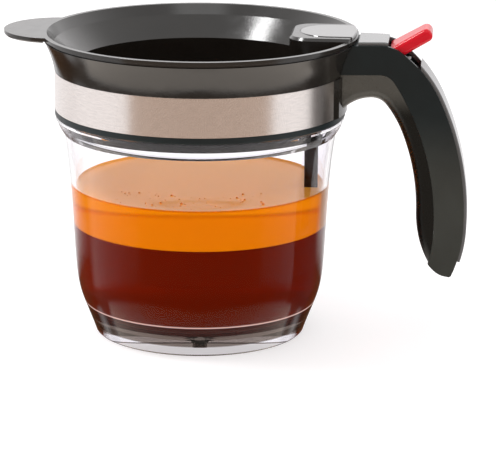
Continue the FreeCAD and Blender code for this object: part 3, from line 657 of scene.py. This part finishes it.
@dataclass
class Contents(SubAssembly):
    """The gravy and the layer of fat that the cup holds in use, in metres and degrees."""

    surface: float = 0.0730               # height of the fat's surface
    meeting: float = 0.0540               # height where the gravy and the fat meet
    part: float = 0.00005                 # how far each stays from that height
    bite: float = 0.0002                  # how far both reach into the cup's wall
    bottom: float = 0.0086                # height of the gravy's flat bottom
    bottom_r: float = 0.009
    aim: float = 0.040                    # height that the cup's floor and corner are felt from
    steepest: float = 74.0                # how far below level the first ray goes
    rays: int = 48                        # how many follow, up to the level one
    slice_height: float = 0.001           # between points up the wall
    rings: tuple[float, ...] = (0.75, 0.5, 0.25)    # of a flat face, in shares of its radius
    steps: int = 192                      # how many faces go round
    climb: float = 0.0010                 # how far the fat's edge climbs the wall
    # The curve of that edge: how far in from the wall, and the share of the climb there.
    edge: tuple[Point2, ...] = ((0.0005, 0.55), (0.0009, 0.34), (0.0014, 0.17), (0.0021, 0.06),
                                (0.0032, 0.0))
    facing_up: float = 0.3                # faces that point up by more than this get the fat's lighter top, with its painted glow
    seed: int = 11
    bubble_count: int = 60
    bubble_r: float = 0.0002              # the smallest
    bubble_growth: float = 0.0005         # how much larger the largest may be
    bubble_x: Point2 = (-0.040, 0.034)
    bubble_y: float = -0.030              # their back edge, in the middle
    bubble_depth: float = 0.026           # how far they spread forwards from it
    bubble_bend: float = 0.35             # how far it goes back for each metre sideways
    dome_angles: tuple[float, ...] = (0.35, 0.7, 1.05, 1.4)     # of a bubble's rings, in radians
    foot_depths: Point2 = (0.2, 0.25)     # of its foot, at the rim and in the middle, in radii
    bubble_steps: int = 10
    pieces: list[bpy.types.Object] = field(default_factory=list)

    def cup_tree(self) -> BVHTree:
        """The cup's faces, for finding its inside."""
        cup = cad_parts["cup"].data
        return BVHTree.FromPolygons([v.co for v in cup.vertices],
                                    [tuple(p.vertices) for p in cup.polygons])

    def wall(self, tree: BVHTree, height: float) -> float:
        """The radius of the cup's inside.

        Args:
            tree: the cup's faces.
            height: the height to measure at.

        Returns:
            The radius.
        """
        return tree.ray_cast(Vector((0.0, 0.0, height)), Vector((-1.0, 0.0, 0.0)))[3]

    def bowl(self, tree: BVHTree) -> list[Point2]:
        """The inside of the cup's floor and corner.

        Args:
            tree: the cup's faces.

        Returns:
            Points from the middle outwards, moved into the wall by the bite.
        """
        points = [(0.0, self.bottom), (self.bottom_r, self.bottom)]
        for i in range(1, self.rays + 1):
            a = math.radians(-self.steepest + self.steepest * i / self.rays)
            ray = Vector((-math.cos(a), 0.0, math.sin(a)))
            hit = tree.ray_cast(Vector((0.0, 0.0, self.aim)), ray)[0]
            points.append((-hit.x - self.bite * ray.x, hit.z + self.bite * ray.z))
        return points

    def side(self, tree: BVHTree, low: float, high: float) -> list[Point2]:
        """The inside of the cup's wall, moved into it by the bite.

        Args:
            tree: the cup's faces.
            low: lowest height.
            high: highest height.

        Returns:
            Points from the bottom up.
        """
        count = max(2, int((high - low) / self.slice_height))
        heights = [low + (high - low) * i / count for i in range(count + 1)]
        return [(self.wall(tree, h) + self.bite, h) for h in heights]

    def flat(self, radius: float, height: float) -> list[Point2]:
        """The inner rings of a flat face.

        Args:
            radius: the face's radius.
            height: its height.

        Returns:
            Points from the outermost of them to the middle.
        """
        return [(radius * share, height) for share in self.rings] + [(0.0, height)]

    def build_gravy(self, tree: BVHTree) -> None:
        """Makes the gravy.

        Args:
            tree: the cup's faces.
        """
        top = self.meeting - self.part
        profile = self.bowl(tree) + self.side(tree, self.aim + self.slice_height, top)
        mesh = bmesh.new()
        turned_faces(mesh, profile + self.flat(profile[-1][0], top), self.steps)
        self.pieces.append(new_piece("gravy", mesh, self.finishes.gravy.build()))

    def build_fat(self, tree: BVHTree) -> bpy.types.Material:
        """Makes the fat, whose surface climbs a little at the wall.

        Args:
            tree: the cup's faces.

        Returns:
            The fat's material.
        """
        low = self.meeting + self.part
        sides = self.side(tree, low, self.surface + self.climb)
        rim = sides[-1][0]
        edge = [(rim - back, self.surface + self.climb * share) for back, share in self.edge]
        profile = self.flat(sides[0][0], low)[::-1] + sides + edge + self.flat(rim, self.surface)
        mesh = bmesh.new()
        turned_faces(mesh, profile, self.steps)
        material = self.finishes.fat.build()
        fat = new_piece("fat", mesh, material)
        # Faces pointing up get that lighter copy, with its stronger painted glow.
        fat.data.materials.append(self.finishes.fat_painted_top.build())
        for face in fat.data.polygons:
            if face.normal.z > self.facing_up:
                face.material_index = 1
        self.pieces.append(fat)
        return material

    def build_bubbles(self, material: bpy.types.Material) -> None:
        """Makes the small bubbles on the fat.

        Args:
            material: the fat's material.
        """
        chance = random.Random(self.seed)
        rim, middle = self.foot_depths
        mesh = bmesh.new()
        for _ in range(self.bubble_count):
            size = self.bubble_r + self.bubble_growth * chance.random() ** 3
            x = chance.uniform(*self.bubble_x)
            y = self.bubble_y - self.bubble_depth * chance.random() + self.bubble_bend * abs(x)
            dome = [(size * math.sin(a), size * math.cos(a)) for a in self.dome_angles]
            foot = [(size, -size * rim), (0.0, -size * middle)]
            turned_faces(mesh, [(0.0, size)] + dome + foot, self.bubble_steps,
                         Vector((x, y, self.surface)))
        self.pieces.append(new_piece("fat_bubbles", mesh, material))

    def build(self) -> None:
        """Makes the contents, which the vessel carries."""
        tree = self.cup_tree()
        self.build_gravy(tree)
        self.build_bubbles(self.build_fat(tree))
        for piece in self.pieces:
            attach(piece, "vessel")
            log.info("%s: rides on the vessel", piece.name)


# ---- Studio ----------------------------------------------------------------------------------
@dataclass(frozen=True)
class Viewpoint:
    """Where the camera stands and how it is turned, in metres and degrees."""

    distance: float = 1.322705
    height: float = 0.402743
    swing: float = 6.0                    # how far it has gone round the object
    pitch: float = 14.976
    yaw: float = 1.015
    roll: float = 0.353
    lens: float = 203.33                  # in millimetres, as the sensor's width is
    sensor: float = 36.0
    clip: Point2 = (0.05, 50.0)

    def build(self) -> None:
        """Makes the camera."""
        pitch, yaw, roll = (math.radians(a) for a in (self.pitch, self.yaw, self.roll))
        ahead = Vector((math.sin(yaw) * math.cos(pitch), math.cos(yaw) * math.cos(pitch),
                        -math.sin(pitch)))
        right = Vector((math.cos(yaw), -math.sin(yaw), 0.0))
        up = right.cross(ahead)
        right, up = (right * math.cos(roll) + up * math.sin(roll),
                     up * math.cos(roll) - right * math.sin(roll))
        place = Matrix((right, up, -ahead)).transposed().to_4x4()
        place.translation = Vector((0.0, -self.distance, self.height))
        data = bpy.data.cameras.new("camera")
        data.sensor_width, data.lens = self.sensor, self.lens
        data.clip_start, data.clip_end = self.clip
        camera = bpy.data.objects.new("camera", data)
        camera.matrix_world = Matrix.Rotation(math.radians(self.swing), 4, "Z") @ place
        bpy.context.scene.collection.objects.link(camera)
        bpy.context.scene.camera = camera


class Way(Enum):
    """What a step in the room's light follows, of the direction that a ray goes in."""

    RIGHT = "its part to the room's right"
    AWAY = "its part to the room's back"
    UP = "its part upwards"
    FORWARD = "how nearly its level part points to the room's front"
    SLOPE = "its part upwards, less the rise of the table's sides"
    WINDOW = "how nearly it points to the window, high in front"


@dataclass(frozen=True)
class Zone:
    """A zone of the room's light, with the steps that fade it in."""

    name: str
    colour: Colour
    steps: tuple[tuple[Way, float, float], ...]     # what each follows, its start and its end


@dataclass(frozen=True)
class Studio:
    """The pale floor, the lamp and the bright room round the object."""

    swing: float                          # how far the room is turned, in degrees
    floor_half: float = 6.0
    floor_squares: int = 24
    floor_drop: float = 0.0001            # how far it lies below the standing ring
    floor_colour: Colour = (0.48, 0.48, 0.485)
    floor_dark: float = 0.992             # the darkest share of that colour
    floor_scale: float = 3.0              # of its clouds, in cells to the metre
    floor_rough: float = 0.85
    floor_glow: float = 0.58
    white: Colour = (1.0, 0.985, 0.99)    # of the walls, and behind all that the camera sees
    through: Colour = (0.93, 0.925, 0.955)          # what shows through the clear pieces
    # Each zone lies over the ones before it.
    zones: tuple[Zone, ...] = (
        Zone("upper walls", (1.70, 1.6745, 1.683), ((Way.UP, 0.14, 0.25),)),
        Zone("table below", (1.90, 1.72, 1.55), ((Way.SLOPE, -0.62, -0.70),)),
        Zone("table under the foot", (0.76, 0.688, 0.62), ((Way.UP, -0.91, -0.96),)),
        Zone("table around", (0.24, 0.19, 0.16),
             ((Way.UP, -0.36, -0.42), (Way.SLOPE, -0.66, -0.60), (Way.AWAY, 0.60, 0.45))),
        Zone("low and behind", (0.12, 0.06, 0.03),
             ((Way.UP, -0.27, -0.32), (Way.UP, -0.56, -0.49), (Way.AWAY, 0.35, 0.55))),
        Zone("low and to the right", (0.09, 0.08, 0.075),
             ((Way.AWAY, 0.09, 0.14), (Way.AWAY, 0.75, 0.60), (Way.UP, -0.56, -0.48),
              (Way.UP, 0.10, 0.0), (Way.RIGHT, 0.0, 0.2))),
        Zone("ceiling", (1.0, 1.0, 1.0), ((Way.UP, 0.45, 0.75),)),
        Zone("window", (2.0, 2.0, 2.0), ((Way.WINDOW, 0.93, 0.97),)),
        Zone("front", (0.50, 0.385, 0.315),
             ((Way.FORWARD, 0.50, 0.56), (Way.UP, -0.50, -0.36), (Way.UP, 0.75, 0.55))),
    )
    table_turn: Point2 = (0.40, 0.20)     # where, towards the front, the table's sides rise
    table_rise: float = 0.15
    window_up: float = 0.74
    window_forward: float = 0.67
    least_level: float = 0.001            # keeps the division for FORWARD from failing
    key_place: Point3 = (-0.62, -0.04, 1.25)
    key_aim: Point3 = (0.0, 0.0, 0.1)
    key_size: Point2 = (0.34, 0.22)
    key_power: float = 7.0

    def build_floor(self) -> None:
        """Makes the floor, which gloss doesn't mirror, because the room stands in for it."""
        mesh = bmesh.new()
        bmesh.ops.create_grid(mesh, x_segments=self.floor_squares, y_segments=self.floor_squares,
                              size=self.floor_half)
        material, g, place = new_material("floor")
        clouds = g.spread(g.noise(place, self.floor_scale, 3.0), 0.0, 1.0)
        dark = scaled(self.floor_colour, self.floor_dark)
        shader = g.add("ShaderNodeBsdfPrincipled", {
            "Base Color": g.blend(clouds, dark, rgba(self.floor_colour)),
            "Roughness": self.floor_rough,
            "Emission Color": rgba(self.white),
            "Emission Strength": self.floor_glow})
        g.add("ShaderNodeOutputMaterial", {"Surface": shader.outputs[0]})
        floor = new_piece("floor", mesh, material, smooth=False)
        floor.location.z = -self.floor_drop
        floor.visible_glossy = False

    def ways(self, g: Graph) -> dict[Way, Socket]:
        """What the zones' steps follow.

        Args:
            g: the world's graph.

        Returns:
            Each way's output.
        """
        ray = g.add("ShaderNodeTexCoord").outputs["Generated"]
        turned = g.add("ShaderNodeVectorRotate", {"Vector": ray, "Angle": -math.radians(self.swing)},
                       rotation_type="Z_AXIS").outputs[0]
        x, y, z = g.axes(turned)
        level = g.math("MAXIMUM", g.reach(x, y), self.least_level)
        rise = g.product(g.math("ABSOLUTE", x), g.ease(y, *self.table_turn, 0.0, self.table_rise))
        window = g.math("SUBTRACT", g.product(z, self.window_up), g.product(y, self.window_forward))
        return {Way.RIGHT: x, Way.AWAY: y, Way.UP: z,
                Way.FORWARD: g.math("DIVIDE", g.product(y, -1.0), level),
                Way.SLOPE: g.math("SUBTRACT", z, rise),
                Way.WINDOW: window}

    def build_room(self) -> None:
        """Makes the room's light: white behind and at the sides, dim and brownish in front."""
        world = bpy.data.worlds.new("room")
        world.use_nodes = True
        bpy.context.scene.world = world
        g = Graph(world.node_tree)
        ways = self.ways(g)
        colour = rgba(self.white)
        for zone in self.zones:
            share = g.product(*(g.ease(ways[way], start, end) for way, start, end in zone.steps))
            colour = g.blend(share, colour, rgba(zone.colour))
        ray = g.add("ShaderNodeLightPath").outputs
        colour = g.blend(ray["Is Transmission Ray"], colour, rgba(self.through))
        colour = g.blend(ray["Is Camera Ray"], colour, rgba(self.white))
        room = g.add("ShaderNodeBackground", {"Color": colour, "Strength": 1.0})
        g.add("ShaderNodeOutputWorld", {"Surface": room.outputs[0]})

    def build_lamp(self) -> None:
        """Makes the soft key lamp, high on the left."""
        data = bpy.data.lights.new("key", "AREA")
        data.shape, data.energy = "RECTANGLE", self.key_power
        data.size, data.size_y = self.key_size
        lamp = bpy.data.objects.new("key", data)
        lamp.location = Vector(self.key_place)
        aim = Vector(self.key_aim) - lamp.location
        lamp.rotation_euler = aim.to_track_quat("-Z", "Y").to_euler()
        bpy.context.scene.collection.objects.link(lamp)

    def build(self) -> None:
        """Makes the studio and sets plain colour handling."""
        self.build_floor()
        self.build_room()
        self.build_lamp()
        bpy.context.scene.view_settings.view_transform = "Standard"
        log.info("studio: %s", ", ".join(zone.name for zone in self.zones))


def main() -> None:
    """Builds everything in order."""
    logging.basicConfig(level=logging.INFO, format="%(message)s")
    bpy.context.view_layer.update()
    finishes = Finishes()
    viewpoint = Viewpoint()
    viewpoint.build()
    Studio(viewpoint.swing).build()
    for kind in (Vessel, Handle, Lever, Plunger, Lid, Contents):
        kind(finishes).build()


if __name__ == "__main__":
    main()
